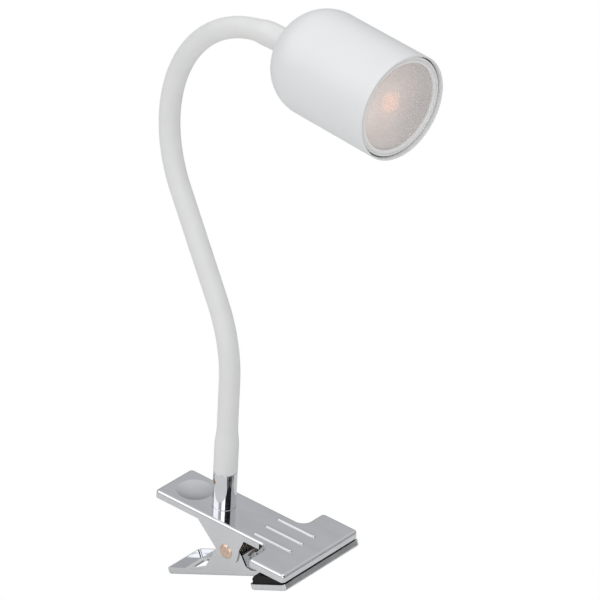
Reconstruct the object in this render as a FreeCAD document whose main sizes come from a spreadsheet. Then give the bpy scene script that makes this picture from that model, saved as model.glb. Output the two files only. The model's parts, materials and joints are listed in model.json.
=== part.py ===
import FreeCAD, Part
import math
import operator
import os

import Sketcher
from FreeCAD import Placement, Rotation, Vector

# A clip-on reading lamp: a spring clip of two chromed levers, a short post, a sleeved gooseneck and a
# cylindrical head with a bayonet LED lamp. Millimetres, +Z up. The origin is the centre of the upper jaw
# pad's gripping face, and +X points out of the jaws.
#
# Local frames:
#   clip frame    origin on the post's axis at the upper lever's top face, same directions as the part
#   lever frame   origin on the hinge pin, local X along the lower lever, tilted up towards the jaws
#   head frame    origin at the centre of the head's rim, local Z out of the head's mouth

DIMENSIONS = [
    # Clip, upper lever
    ("sheet_gauge", 1.0, "thickness of both pressed levers"),
    ("bend_radius", 1.6, "outer radius of the upper lever's bends"),
    ("post_to_jaw", 52.3, "post axis to the middle of the jaws"),
    ("plate_top", 4.9, "gripping face to the top of the upper lever"),
    ("stem_width", 28.3, "outer width of the upper lever's stem"),
    ("tail_end", 34.3, "post axis to the tail's end"),
    ("jaw_back", 41.0, "post axis to the back of the T-shaped jaw"),
    ("jaw_front", 64.1, "post axis to the front of the jaw"),
    ("jaw_width", 58.5, "width of the jaws"),
    ("rim_height", 4.2, "height of the upper lever's turned-down rim"),
    ("corner_round", 2.2, "plan radius of the levers' outer corners"),
    ("neck_round", 5.0, "plan radius where the stem meets the jaw"),
    ("relief_start", 35.6, "post axis to the end of the stem's rim"),
    ("relief_side", 19.4, "where the jaw's back rim starts"),
    ("dimple_x", 19.6, "post axis to the thumb dimple's centre"),
    ("dimple_radius", 9.6, "radius of the thumb dimple"),
    ("dimple_depth", 1.3, "depth of the thumb dimple"),
    ("rib_start", 28.0, "post axis to the ribs' back end"),
    ("rib_end", 52.6, "post axis to the ribs' front end"),
    ("rib_pitch", 9.1, "distance between the ribs"),
    ("rib_width", 2.3, "width of a rib"),
    ("rib_height", 0.7, "height of a rib"),
    # Clip, hinge
    ("hinge_x", 14.3, "post axis to the hinge pin"),
    ("hinge_drop", 15.2, "top of the upper lever to the hinge pin"),
    ("ear_radius", 6.8, "pin to the lower edge of the upper ears"),
    ("ear_back", 5.2, "post axis back to the upper ears' root"),
    ("ear_knee_x", 5.7, "pin back to the knee in the upper ears' edge"),
    ("ear_knee_drop", 2.0, "pin down to the knee in the upper ears' edge"),
    ("ear_front", 25.6, "post axis to the front of the upper ears' root"),
    ("pin_radius", 2.0, "radius of the rivet's shank"),
    ("pin_clearance", 0.05, "running clearance of the lower lever on the rivet"),
    ("rivet_head_radius", 3.95, "radius of the rivet's heads"),
    ("rivet_head_height", 0.9, "height of the rivet's heads"),
    # Clip, lower lever
    ("lever_tilt", 23.7, "angle of the lower lever with the jaws closed, degrees"),
    ("lever_width", 25.7, "outer width of the lower lever"),
    ("floor_drop", 14.2, "pin to the outside of the lower lever's floor"),
    ("lever_rim_height", 3.4, "height of the lower lever's turned-up rim"),
    ("lever_bend", 1.2, "outer radius of the lower lever's bends"),
    ("lever_ear_back", 21.2, "pin back to the lower ears' root"),
    ("lever_ear_front", 13.0, "pin to the front of the lower ears' root"),
    ("lever_tail", 48.5, "pin to the lower lever's tail end"),
    ("tray_back", 26.0, "pin to the back of the lower jaw"),
    ("tray_front", 50.4, "pin to the front of the lower jaw"),
    ("hole_back", 37.8, "pin to the wide end of the tail's three-cornered hole"),
    ("hole_front", 25.0, "pin to the narrow end of the tail's hole"),
    ("hole_width", 12.4, "width of the tail's hole at its wide end"),
    ("hole_tip", 2.4, "width of the tail's hole at its narrow end"),
    ("cord_eye_back", 21.85, "pin to the cord's eye in the lower lever, straight under the outlet"),
    ("cord_eye_radius", 4.2, "radius of the cord's eye in the lower lever"),
    # Jaw pads
    ("pad_gap", 0.2, "gap between a pad and the rim around it"),
    ("pad_set_back", 0.4, "upper pad's back edge, further in than that gap"),
    ("lower_pad_height", 6.4, "height of the lower pad above the lever's floor"),
    ("grip_gap", 0.2, "gap between the two pads with the jaws closed"),
    # Torsion spring
    ("wire_radius", 0.8, "radius of the spring's wire"),
    ("coil_radius", 5.4, "mean radius of the spring's coil"),
    ("coil_length", 17.0, "length of the spring's coil"),
    ("coil_turns", 8.0, "whole turns of the coil"),
    ("upper_leg_reach", 15.0, "pin to the tip of the spring's upper leg, along the clip"),
    ("lower_leg_reach", 9.5, "pin to the tip of the spring's lower leg, along the lever"),
    # Post
    ("post_radius", 6.16, "outer radius of the post"),
    ("post_bore", 5.0, "bore of the post"),
    ("post_height", 20.67, "height of the post above the plate"),
    ("post_chamfer", 0.35, "chamfer round the foot of the post"),
    ("nipple_radius", 5.0, "outer radius of the hollow screws"),
    ("nipple_bore", 4.0, "bore of the hollow screws"),
    ("nipple_up", 8.0, "hollow screw above the plate's top"),
    ("nipple_down", 8.0, "hollow screw below the plate's top"),
    ("nut_flats", 14.0, "width across the flats of the nuts"),
    ("nut_height", 3.0, "height of the nuts"),
    ("washer_height", 0.8, "height of the washers"),
    ("bush_bore", 3.0, "bore of the cord outlet's bush"),
    ("bush_flange", 1.2, "height of the bush's flange"),
    ("bush_depth", 6.0, "depth of the bush in the hollow screw"),
    ("grub_height", 15.2, "height of the grub screw above the plate"),
    ("grub_radius", 1.5, "radius of the grub screw"),
    ("grub_azimuth", -114.0, "direction of the grub screw, degrees from +X"),
    # Gooseneck
    ("neck_azimuth", -6.6, "plane of the gooseneck, degrees from +X"),
    ("sleeve_radius", 5.35, "outer radius of the sleeve"),
    ("sleeve_bore", 3.9, "bore of the sleeve"),
    ("core_radius", 3.8, "outer radius of the flexible core"),
    ("core_bore", 2.7, "bore of the flexible core"),
    ("lead_radius", 1.1, "radius of one insulated lead"),
    ("lead_offset", 1.25, "lead's axis to the neck's axis"),
    ("collar_radius", 6.2, "outer radius of the sleeve over the ferrules"),
    ("collar_height", 15.3, "length of the sleeve's thick end"),
    ("taper_height", 10.0, "length of the taper after the thick end"),
    ("rise", 73.0, "height of the straight part, above the plate"),
    ("back_bend_radius", 80.0, "radius of the lower bend"),
    ("back_bend_turn", 30.4, "turn of the lower bend, degrees"),
    ("slant", 58.9, "length of the straight part between the bends"),
    ("top_bend_radius", 72.0, "radius of the upper bend"),
    ("head_dip", 1.6, "head's axis below level, degrees"),
    ("run_in", 9.4, "straight length behind the head"),
    ("flex_start", 25.0, "stiff length above the post"),
    ("flex_end", 25.0, "stiff length behind the head"),
    ("cup_gap", 0.3, "gap between one neck link's ball end and the next one's cup"),
    ("core_end_gap", 0.4, "end of the neck's centreline to the end of the core"),
    ("core_recess", 5.1, "joint to the lower end of the core and leads above it"),
    ("core_reach", 3.0, "joint to the upper end of the core and leads below it"),
    ("lead_tail", 11.0, "length of the leads below the core, in the post"),
    ("ferrule_depth", 11.6, "length of the lower ferrule in the post"),
    ("ferrule_screw", 6.6, "length of the upper ferrule in the head"),
    # Head
    ("head_radius", 26.4, "outer radius of the head"),
    ("head_wall", 0.85, "wall of the head"),
    ("head_length", 74.0, "length of the head"),
    ("head_round", 21.3, "outer radius of the head's rounded back"),
    # Lamp
    ("lamp_radius", 24.95, "outer radius of the lamp's face"),
    ("lamp_recess", 1.6, "rim of the head to the lamp's face"),
    ("lens_radius", 21.8, "radius of the lens"),
    ("lens_recess", 2.9, "rim of the head to the lens"),
    ("lens_thickness", 1.5, "thickness of the lens"),
    ("lamp_wall", 1.2, "wall of the lamp's housing"),
    ("base_radius", 13.5, "radius of the lamp's base"),
    ("base_depth", 47.6, "rim of the head to the face of the lamp's base"),
    ("pin_offset", 5.0, "half the spacing of the bayonet pins"),
    ("pin_neck", 1.5, "radius of a bayonet pin's neck"),
    ("pin_head", 2.5, "radius of a bayonet pin's head"),
    ("twist", 22.0, "turn that frees the lamp, degrees"),
    ("board_depth", 8.6, "rim of the head to the LED board"),
    ("board_radius", 20.5, "radius of the LED board"),
    ("chip_radius", 4.6, "radius of the LED's phosphor disc"),
    ("chip_height", 0.8, "height of the LED's phosphor disc"),
    # Lampholder
    ("holder_depth", 48.0, "rim of the head to the lampholder's face"),
    ("holder_height", 12.0, "height of the lampholder"),
    ("holder_radius", 14.5, "radius of the lampholder"),
    ("screw_offset", 12.2, "lampholder's axis to each of its screws"),
    ("screw_radius", 1.25, "radius of the lampholder's screws"),
    ("lead_reach", 9.5, "lampholder's axis to where each lead enters it"),
]
FIRST_ROW = 2
NECK_JOINTS = 8
THROUGH = 200.0

doc = FreeCAD.newDocument("clip_on_reading_lamp")


def make_sheet():
    """The spreadsheet that drives every sub-part."""
    cells = doc.addObject("Spreadsheet::Sheet", "Dimensions")
    for column, heading in (("A", "name"), ("B", "value"), ("C", "meaning")):
        cells.set(f"{column}1", heading)
    for row, (alias, value, meaning) in enumerate(DIMENSIONS, FIRST_ROW):
        cells.set(f"A{row}", alias)
        cells.set(f"B{row}", str(value))
        cells.set(f"C{row}", meaning)
        cells.setAlias(f"B{row}", alias)
    doc.recompute()
    return cells


sheet = make_sheet()


# ---------------------------------------------------------------- sizes that stay bound to the sheet
class Size:
    """A length worked out from the sheet: its value now, and the expression that keeps it bound."""

    SIGNS = {"+": operator.add, "-": operator.sub, "*": operator.mul, "/": operator.truediv}

    def __init__(self, value, text):
        self.value = float(value)
        self.text = text

    def join(self, other, sign, swapped=False):
        pair = (as_size(other), self) if swapped else (self, as_size(other))
        value = self.SIGNS[sign](pair[0].value, pair[1].value)
        return Size(value, f"({pair[0].text} {sign} {pair[1].text})")

    def __add__(self, other):
        return self.join(other, "+")

    def __radd__(self, other):
        return self.join(other, "+", True)

    def __sub__(self, other):
        return self.join(other, "-")

    def __rsub__(self, other):
        return self.join(other, "-", True)

    def __mul__(self, other):
        return self.join(other, "*")

    def __rmul__(self, other):
        return self.join(other, "*", True)

    def __truediv__(self, other):
        return self.join(other, "/")

    def __neg__(self):
        return Size(-self.value, f"(-1 * {self.text})")


def as_size(number):
    return number if isinstance(number, Size) else Size(number, f"{number:.9g}")


def dim(alias):
    """A cell of the sheet, as a size that expressions can use."""
    return Size(sheet.get(alias), f"Dimensions.{alias}")


def value(alias):
    """A cell of the sheet, as a plain number."""
    return float(sheet.get(alias))


def bind(thing, field, size):
    size = as_size(size)
    thing.setExpression(field, size.text)


# ---------------------------------------------------------------- placements of the local frames
def clip_frame():
    return Placement(Vector(-value("post_to_jaw"), 0, value("plate_top")), Rotation())


def lever_frame():
    pin = Vector(value("hinge_x"), 0, -value("hinge_drop"))
    tilt = Rotation(Vector(0, 1, 0), -value("lever_tilt"))
    return clip_frame() * Placement(pin, tilt)


def neck_frame():
    """Post axis at the plate's top, local X in the gooseneck's plane."""
    turn = Rotation(Vector(0, 0, 1), value("neck_azimuth"))
    return clip_frame() * Placement(Vector(), turn)


# ---------------------------------------------------------------- sketches and features
def add_body(label, frame):
    body = doc.addObject("PartDesign::Body", label)
    body.Label = label
    body.Placement = frame
    return body


def rounded(points):
    """Splits an outline into runs and arcs. A point is (x, y) or (x, y, radius of the rounded corner)."""
    plain = [(as_size(p[0]), as_size(p[1])) for p in points]
    flat = [Vector(x.value, y.value, 0) for x, y in plain]
    corners = []
    for i, point in enumerate(points):
        if len(point) == 2:
            corners.append((plain[i], None, plain[i], None))
            continue
        radius = as_size(point[2])
        before = (flat[i - 1] - flat[i]).normalize()
        after = (flat[(i + 1) % len(flat)] - flat[i]).normalize()
        half = before.getAngle(after) / 2
        reach = radius / math.tan(half)
        start = tuple(plain[i][k] + reach * before[k] for k in range(2))
        end = tuple(plain[i][k] + reach * after[k] for k in range(2))
        middle = (before + after).normalize() * (radius.value / math.sin(half) - radius.value)
        corners.append((start, flat[i] + middle, end, radius))
    return corners


def add_loop(sketch, points):
    """Adds one closed outline, with every end point and radius bound to the sheet."""
    corners = rounded(points)
    edges = []
    for i, (start, middle, end, radius) in enumerate(corners):
        if middle:
            arc = Part.Arc(as_vector(start), middle, as_vector(end))
            edges.append((sketch.addGeometry(arc, False), start, end, radius))
        begin = corners[(i + 1) % len(corners)][0]
        line = Part.LineSegment(as_vector(end), as_vector(begin))
        edges.append((sketch.addGeometry(line, False), end, begin, None))
    for i, (index, start, end, radius) in enumerate(edges):
        ends = point_order(sketch, index, start)
        following = edges[(i + 1) % len(edges)]
        joined = point_order(sketch, following[0], following[1])
        sketch.addConstraint(Sketcher.Constraint("Coincident", index, ends[1], following[0], joined[0]))
        for kind, size in (("DistanceX", start[0]), ("DistanceY", start[1])):
            constrain(sketch, Sketcher.Constraint(kind, -1, 1, index, ends[0], size.value), size)
        if radius:
            constrain(sketch, Sketcher.Constraint("Radius", index, radius.value), radius)


def as_vector(point):
    return Vector(point[0].value, point[1].value, 0)


def point_order(sketch, index, start):
    """Which end of an edge is its start here: a clockwise arc is stored the other way round."""
    here = sketch.getPoint(index, 1)
    return (1, 2) if (here - as_vector(start)).Length < 1e-6 else (2, 1)


def constrain(sketch, constraint, size):
    number = sketch.addConstraint(constraint)
    sketch.setExpression(f"Constraints[{number}]", size.text)


def add_circle(sketch, x, y, radius):
    x, y, radius = as_size(x), as_size(y), as_size(radius)
    circle = Part.Circle(Vector(x.value, y.value, 0), Vector(0, 0, 1), radius.value)
    index = sketch.addGeometry(circle, False)
    constrain(sketch, Sketcher.Constraint("DistanceX", -1, 1, index, 3, x.value), x)
    constrain(sketch, Sketcher.Constraint("DistanceY", -1, 1, index, 3, y.value), y)
    constrain(sketch, Sketcher.Constraint("Radius", index, radius.value), radius)


def attach_sketch(body, plane, offset=Placement()):
    """An empty sketch on one of the body's own planes."""
    sketch = body.newObject("Sketcher::SketchObject", f"{body.Name}_sketch")
    origin = [f for f in body.Origin.OriginFeatures if f.Role == plane][0]
    sketch.AttachmentSupport = [(origin, "")]
    sketch.MapMode = "FlatFace"
    sketch.AttachmentOffset = offset
    return sketch


def add_sketch(body, plane, loops=(), circles=(), level=0.0):
    """A sketch on one of the body's own planes, moved along the plane's normal by level."""
    sketch = attach_sketch(body, plane)
    bind(sketch, "AttachmentOffset.Base.z", level)
    for loop in loops:
        add_loop(sketch, loop)
    for circle in circles:
        add_circle(sketch, *circle)
    return sketch


def add_feature(body, kind, sketch, length, midplane=False, up=True):
    """A Pad or Pocket. A Pad goes up or down from its sketch, and so does a Pocket."""
    feature = body.newObject(f"PartDesign::{kind}", f"{body.Name}_{kind}")
    feature.Profile = sketch
    bind(feature, "Length", length)
    feature.Midplane = midplane
    feature.Reversed = not midplane and (up != (kind == "Pad"))
    before = doc.getObject(body.Name).Shape.Volume if kind == "Pocket" and body.Shape else None
    doc.recompute()
    if before is not None and not feature.Shape.Volume < before - 1e-6:
        raise RuntimeError(f"{feature.Name} cuts nothing")
    return feature


def revolve(body, loop):
    """Turns a profile of (radius, height) points about the body's Z axis."""
    sketch = add_sketch(body, "XZ_Plane", [loop])
    feature = body.newObject("PartDesign::Revolution", f"{body.Name}_Revolution")
    feature.Profile = sketch
    feature.ReferenceAxis = (sketch, ["V_Axis"])
    feature.Angle = 360
    return feature


def turned(label, frame, loop):
    """A turned piece."""
    body = add_body(label, frame)
    revolve(body, loop)
    return body


def round_edges(body, test, radius):
    """Fillets the edges of the body's last feature that the test picks."""
    doc.recompute()
    base = body.Tip
    names = [f"Edge{i}" for i, edge in enumerate(base.Shape.Edges, 1) if test(edge)]
    if not names:
        raise RuntimeError(f"{body.Name} has no such edge")
    fillet = body.newObject("PartDesign::Fillet", f"{body.Name}_Fillet")
    fillet.Base = (base, names)
    bind(fillet, "Radius", radius)
    doc.recompute()
    return fillet


def lies_at(edge, axis, level, tolerance=1e-4):
    """True where the whole edge lies in the plane axis = level."""
    box = edge.BoundBox
    low, high = {"x": (box.XMin, box.XMax), "y": (box.YMin, box.YMax), "z": (box.ZMin, box.ZMax)}[axis]
    return abs(low - level) < tolerance and abs(high - level) < tolerance


def mirrored_y(points):
    """A closed outline from its +Y half, whose first and last points are not on the axis."""
    other = [(p[0], -as_size(p[1])) + tuple(p[2:]) for p in reversed(points)]
    return list(points) + other


def add_shape(label, shape, frame):
    """A sub-part whose shape is worked out in code from the sheet."""
    feature = doc.addObject("Part::Feature", label)
    feature.Label = label
    feature.Shape = shape
    feature.Placement = frame
    return feature


def hexagon(flats):
    """Corner points of a nut."""
    across = as_size(flats) / math.sqrt(3)
    turns = [math.radians(60 * corner) for corner in range(6)]
    return [(across * math.cos(turn), across * math.sin(turn)) for turn in turns]


# ---------------------------------------------------------------- clip
def upper_lever():
    """The pressed upper lever: a T-shaped plate with a turned-down rim and two hinge ears."""
    body = add_body("upper_lever", clip_frame())
    gauge, rim = dim("sheet_gauge"), dim("rim_height")
    half_stem, half_jaw = dim("stem_width") / 2, dim("jaw_width") / 2
    corner = dim("corner_round")

    def outline(inset, outer, inner):
        return mirrored_y([
            (dim("jaw_front") - inset, half_jaw - inset, outer),
            (dim("jaw_back") + inset, half_jaw - inset, outer),
            (dim("jaw_back") + inset, half_stem - inset, inner),
            (-dim("tail_end") + inset, half_stem - inset, outer),
        ])

    plate = add_sketch(body, "XY_Plane", [outline(0.0, corner, dim("neck_round"))])
    add_feature(body, "Pad", plate, rim, up=False)
    round_edges(body, lambda e: lies_at(e, "z", 0.0), dim("bend_radius"))
    pin_x, pin_z = dim("hinge_x"), -dim("hinge_drop")
    reach = dim("ear_radius")
    knee = pin_x - dim("ear_knee_x")
    ear = [
        (-dim("ear_back"), -gauge * 1.5),
        (-dim("ear_back"), -rim + 0.1),
        (knee, pin_z - dim("ear_knee_drop")),
        (knee + 0.8, pin_z - reach, reach - 1.8),
        (pin_x + reach - 0.8, pin_z - reach, reach - 1.2),
        (pin_x + 8.4, pin_z + 4.1),
        (dim("ear_front"), -rim + 0.1),
        (dim("ear_front"), -gauge * 1.5),
    ]
    ears = add_sketch(body, "XZ_Plane", [ear])
    add_feature(body, "Pad", ears, dim("stem_width"), midplane=True)
    inside = add_sketch(
        body, "XY_Plane", [outline(gauge, corner - gauge, dim("neck_round") + gauge)], level=-gauge
    )
    add_feature(body, "Pocket", inside, THROUGH, up=False)
    relief = [
        [(x, side * y) for x, y in (
            (dim("relief_start"), half_stem - gauge * 1.3),
            (dim("jaw_back") + gauge * 1.3, half_stem - gauge * 1.3),
            (dim("jaw_back") + gauge * 1.3, dim("relief_side")),
            (dim("relief_start"), dim("relief_side")),
        )]
        for side in (1, -1)
    ]
    notches = add_sketch(body, "XY_Plane", relief, level=-gauge)
    add_feature(body, "Pocket", notches, THROUGH, up=False)
    holes = add_sketch(body, "XZ_Plane", circles=[(pin_x, pin_z, dim("pin_radius"))])
    add_feature(body, "Pocket", holes, THROUGH, midplane=True)
    hole = add_sketch(body, "XY_Plane", circles=[(0.0, 0.0, dim("nipple_radius") + 0.1)])
    add_feature(body, "Pocket", hole, THROUGH, midplane=True)
    ribs = add_sketch(body, "XY_Plane", [rib_outline(i) for i in (-1, 0, 1)], level=-gauge / 2)
    add_feature(body, "Pad", ribs, gauge / 2 + dim("rib_height"))
    height = value("rib_height")
    round_edges(body, lambda e: lies_at(e, "z", height), dim("rib_height") - 0.05)
    press_dimple(body)
    return body


def rib_outline(place):
    """One of the three stiffening ribs, with round ends."""
    half = dim("rib_width") / 2
    middle = dim("rib_pitch") * place
    radius = half - 0.001
    return [
        (dim("rib_start"), middle - half, radius),
        (dim("rib_end"), middle - half, radius),
        (dim("rib_end"), middle + half, radius),
        (dim("rib_start"), middle + half, radius),
    ]


def press_dimple(body):
    """Sinks the round thumb dimple: a shallow bowl of the sheet's own thickness."""
    radius, depth, gauge = value("dimple_radius"), value("dimple_depth"), value("sheet_gauge")
    ball = (radius ** 2 + depth ** 2) / (2 * depth)
    for kind, reach, start in (("Revolution", ball + gauge, -gauge / 2), ("Groove", ball, 2.0)):
        sketch = attach_sketch(body, "XZ_Plane", Placement(Vector(0, ball - depth, 0), Rotation()))
        bind(sketch, "AttachmentOffset.Base.x", -dim("dimple_x"))
        level = start - (ball - depth)
        side = math.sqrt(reach ** 2 - level ** 2)
        low, out, top = Vector(0, -reach, 0), Vector(side, level, 0), Vector(0, level, 0)
        lean = math.atan2(side, -level) / 2
        middle = Vector(reach * math.sin(lean), -reach * math.cos(lean), 0)
        sketch.addGeometry([
            Part.Arc(low, middle, out), Part.LineSegment(out, top), Part.LineSegment(top, low),
        ], False)
        feature = body.newObject(f"PartDesign::{kind}", f"{body.Name}_{kind}")
        feature.Profile = sketch
        feature.ReferenceAxis = (sketch, ["V_Axis"])
        feature.Angle = 360
        doc.recompute()


def lower_lever():
    """The pressed lower lever: an open channel with a hole in its tail, two inner ears and a jaw tray."""
    body = add_body("lower_lever", lever_frame())
    gauge = dim("sheet_gauge")
    half, half_jaw = dim("lever_width") / 2, dim("jaw_width") / 2
    corner = dim("corner_round")
    floor = -dim("floor_drop")

    def outline(inset, outer, inner):
        return mirrored_y([
            (dim("tray_front") - inset, half_jaw - inset, outer),
            (dim("tray_back") + inset, half_jaw - inset, outer),
            (dim("tray_back") + inset, half - inset, inner),
            (-dim("lever_tail") + inset, half - inset, outer),
        ])

    channel = add_sketch(body, "XY_Plane", [outline(0.0, corner, corner)], level=floor)
    add_feature(body, "Pad", channel, dim("lever_rim_height"))
    low = -value("floor_drop")
    round_edges(body, lambda e: lies_at(e, "z", low), dim("lever_bend"))
    rim_top = floor + dim("lever_rim_height")
    ear = [
        (-dim("lever_ear_back"), rim_top - 0.6),
        (-dim("lever_ear_back"), rim_top),
        (-3.2, 5.3, 4.0),
        (5.0, 6.4, 4.0),
        (8.2, -0.6, 1.5),
        (9.7, -9.0, 1.5),
        (dim("lever_ear_front"), rim_top),
        (dim("lever_ear_front"), rim_top - 0.6),
    ]
    ears = add_sketch(body, "XZ_Plane", [ear])
    add_feature(body, "Pad", ears, dim("lever_width"), midplane=True)
    inside = add_sketch(
        body, "XY_Plane", [outline(gauge, corner - gauge, corner + gauge)], level=floor + gauge
    )
    add_feature(body, "Pocket", inside, THROUGH, up=True)
    hole = mirrored_y([
        (-dim("hole_front"), dim("hole_tip") / 2, 1.0),
        (-dim("hole_back"), dim("hole_width") / 2, 2.2),
    ])
    opening = add_sketch(body, "XY_Plane", [hole], level=floor)
    add_feature(body, "Pocket", opening, gauge * 2, midplane=True)
    cord_eye = [(-dim("cord_eye_back"), 0.0, dim("cord_eye_radius"))]
    eye = add_sketch(body, "XY_Plane", circles=cord_eye, level=floor)
    add_feature(body, "Pocket", eye, gauge * 2, midplane=True)
    holes = add_sketch(
        body, "XZ_Plane", circles=[(0.0, 0.0, dim("pin_radius") + dim("pin_clearance"))]
    )
    add_feature(body, "Pocket", holes, THROUGH, midplane=True)
    return body


def upper_jaw_pad():
    """The flat rubber pad in the upper jaw."""
    body = add_body("upper_jaw_pad", clip_frame())
    inset = dim("sheet_gauge") + dim("pad_gap")
    half = dim("jaw_width") / 2 - inset
    back = dim("jaw_back") + inset + dim("pad_set_back")
    front = dim("post_to_jaw") * 2 - back
    corner = dim("corner_round") - dim("pad_gap")
    loop = mirrored_y([(front, half, corner), (back, half, corner)])
    sketch = add_sketch(body, "XY_Plane", [loop], level=-dim("sheet_gauge"))
    add_feature(body, "Pad", sketch, dim("plate_top") - dim("sheet_gauge"), up=False)
    return body


def lower_jaw_pad():
    """The thicker rubber pad in the lower jaw, cut to lie along the upper pad when the jaws close."""
    body = add_body("lower_jaw_pad", lever_frame())
    inset = dim("sheet_gauge") + dim("pad_gap")
    floor = -dim("floor_drop") + dim("sheet_gauge")
    back = dim("tray_back") + inset + 1.0
    front = dim("tray_front") - inset
    top = floor + dim("lower_pad_height")
    tilt = math.radians(value("lever_tilt"))
    drop = dim("hinge_drop") - dim("plate_top") - dim("grip_gap") / math.cos(tilt)

    def under_grip(along):
        """Height just below the upper pad's face, this far along the lever."""
        return (drop - along * math.sin(tilt)) / math.cos(tilt)

    crest = (drop - top * math.cos(tilt)) / math.sin(tilt)
    profile = [
        (back, floor),
        (back, top - 1.6),
        (back + 1.6, top),
        (crest, top),
        (front, under_grip(front)),
        (front, floor),
    ]
    sketch = add_sketch(body, "XZ_Plane", [profile])
    width = dim("jaw_width") - inset * 2
    add_feature(body, "Pad", sketch, width, midplane=True)

    def is_front_corner(edge):
        return lies_at(edge, "x", front.value) and edge.BoundBox.YLength < 1e-6

    round_edges(body, is_front_corner, dim("corner_round") - dim("sheet_gauge"))
    return body


def pivot_rivet():
    """The hinge pin: a rivet across the four ears, with a low head outside each upper ear."""
    pin = Vector(value("hinge_x"), 0, -value("hinge_drop"))
    frame = clip_frame() * Placement(pin, Rotation(Vector(1, 0, 0), -90))
    half, shank = dim("stem_width") / 2, dim("pin_radius")
    head, height = dim("rivet_head_radius"), dim("rivet_head_height")
    return turned("pivot_rivet", frame, [
        (0.0, -half - height),
        (head - 0.7, -half - height),
        (head, -half - height + 0.6),
        (head, -half),
        (shank, -half),
        (shank, half),
        (head, half),
        (head, half + height - 0.6),
        (head - 0.7, half + height),
        (0.0, half + height),
    ])


def torsion_spring():
    """The spring round the rivet: a coil with one leg pressing on each lever, on the tails' side."""
    radius, length, wire = value("coil_radius"), value("coil_length"), value("wire_radius")
    play = 0.1
    rise = value("hinge_drop") - value("sheet_gauge") - wire - play
    upper = Vector(-value("upper_leg_reach"), rise, 0)
    tilt = Rotation(Vector(0, 0, 1), value("lever_tilt"))
    floor = value("floor_drop") - value("sheet_gauge") - wire - play
    lower = tilt.multVec(Vector(-value("lower_leg_reach"), -floor, 0))
    leave = math.atan2(lower.y, lower.x) + math.acos(radius / lower.Length)
    arrive = math.atan2(upper.y, upper.x) - math.acos(radius / upper.Length)
    turns = value("coil_turns") + (arrive - leave) / (2 * math.pi)
    pitch = length / turns
    coil = Part.makeHelix(pitch, length, radius)
    coil.rotate(Vector(), Vector(0, 0, 1), math.degrees(leave))
    low, high = sorted((v.Point for v in coil.Vertexes), key=lambda p: p.z)
    legs = []
    for point, way, tip in ((low, -1, lower), (high, 1, upper)):
        slope = Vector(-point.y, point.x, pitch / (2 * math.pi)).normalize()
        reach = math.sqrt(tip.Length ** 2 - radius ** 2)
        legs.append(Part.LineSegment(point, point + slope * way * reach).toShape())
    path = Part.Wire(Part.__sortEdges__(coil.Edges + legs))
    start, following = (v.Point for v in path.OrderedVertexes[:2])
    section = Part.Wire(Part.Circle(start, following - start, wire).toShape())
    solid = path.makePipeShell([section], True, True)
    pin = Vector(value("hinge_x"), length / 2, -value("hinge_drop"))
    frame = clip_frame() * Placement(pin, Rotation(Vector(1, 0, 0), 90))
    return add_shape("torsion_spring", solid, frame)


# ---------------------------------------------------------------- post
def post_tube():
    """The short chromed post that carries the gooseneck, with a side hole for the grub screw."""
    body = turned("post_tube", clip_frame(), [
        (dim("post_bore"), 0.0),
        (dim("post_radius") - dim("post_chamfer"), 0.0),
        (dim("post_radius"), dim("post_chamfer")),
        (dim("post_radius"), dim("post_height"), 0.4),
        (dim("post_bore"), dim("post_height")),
    ])
    doc.recompute()
    cross_hole(body, dim("post_radius") + 1.0)
    return body


def cross_hole(body, length):
    """Drills the grub screw's hole from the axis outwards."""
    turn = Rotation(Vector(0, 1, 0), value("grub_azimuth") + 90)
    sketch = attach_sketch(body, "XZ_Plane", Placement(Vector(), turn))
    add_circle(sketch, 0.0, dim("grub_height"), dim("grub_radius"))
    add_feature(body, "Pocket", sketch, length, up=True)


def grub_screw():
    """The brass grub screw that holds the gooseneck's lower ferrule in the post."""
    turn = Rotation(Vector(0, 0, 1), value("grub_azimuth"))
    level = Vector(0, 0, value("grub_height"))
    frame = clip_frame() * Placement(level, turn) * Placement(Vector(), Rotation(Vector(0, 1, 0), 90))
    outer = dim("post_radius") - 0.35
    body = turned("post_grub_screw", frame, [
        (0.0, outer - 2.2),
        (dim("grub_radius"), outer - 2.2),
        (dim("grub_radius"), outer - 0.2),
        (dim("grub_radius") - 0.2, outer),
        (0.0, outer),
    ])
    doc.recompute()
    slot = mirrored_y([(2.0, 0.2), (-2.0, 0.2)])
    sketch = add_sketch(body, "XY_Plane", [slot], level=outer)
    add_feature(body, "Pocket", sketch, 0.7, up=False)
    return body


def post_nipple():
    """The hollow screw through the plate that holds the post and lets the cord out."""
    return turned("post_nipple", clip_frame(), [
        (dim("nipple_bore"), -dim("nipple_down")),
        (dim("nipple_radius"), -dim("nipple_down"), 0.4),
        (dim("nipple_radius"), dim("nipple_up"), 0.4),
        (dim("nipple_bore"), dim("nipple_up")),
    ])


def nut(label, frame, seat, up):
    """A hexagon nut on a hollow screw, its flats facing +Y and -Y."""
    body = add_body(label, frame)
    corners = hexagon(dim("nut_flats"))
    sketch = add_sketch(body, "XY_Plane", [corners], [(0.0, 0.0, dim("nipple_radius"))], level=seat)
    add_feature(body, "Pad", sketch, dim("nut_height"), up=up)
    return body


def toothed_washer():
    """The internal face of the plate is gripped by a washer with teeth round its edge."""
    body = add_body("post_lock_washer", clip_frame())
    teeth = 12
    edge = []
    for tooth in range(teeth):
        for share, reach in ((0.0, 7.2), (0.35, 8.2), (0.65, 8.2)):
            angle = math.radians(360 / teeth * (tooth + share))
            edge.append((reach * math.cos(angle), reach * math.sin(angle)))
    hole = [(0.0, 0.0, dim("nipple_radius"))]
    sketch = add_sketch(body, "XY_Plane", [edge], hole, level=-dim("sheet_gauge"))
    add_feature(body, "Pad", sketch, dim("washer_height"), up=False)
    return body


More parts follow.
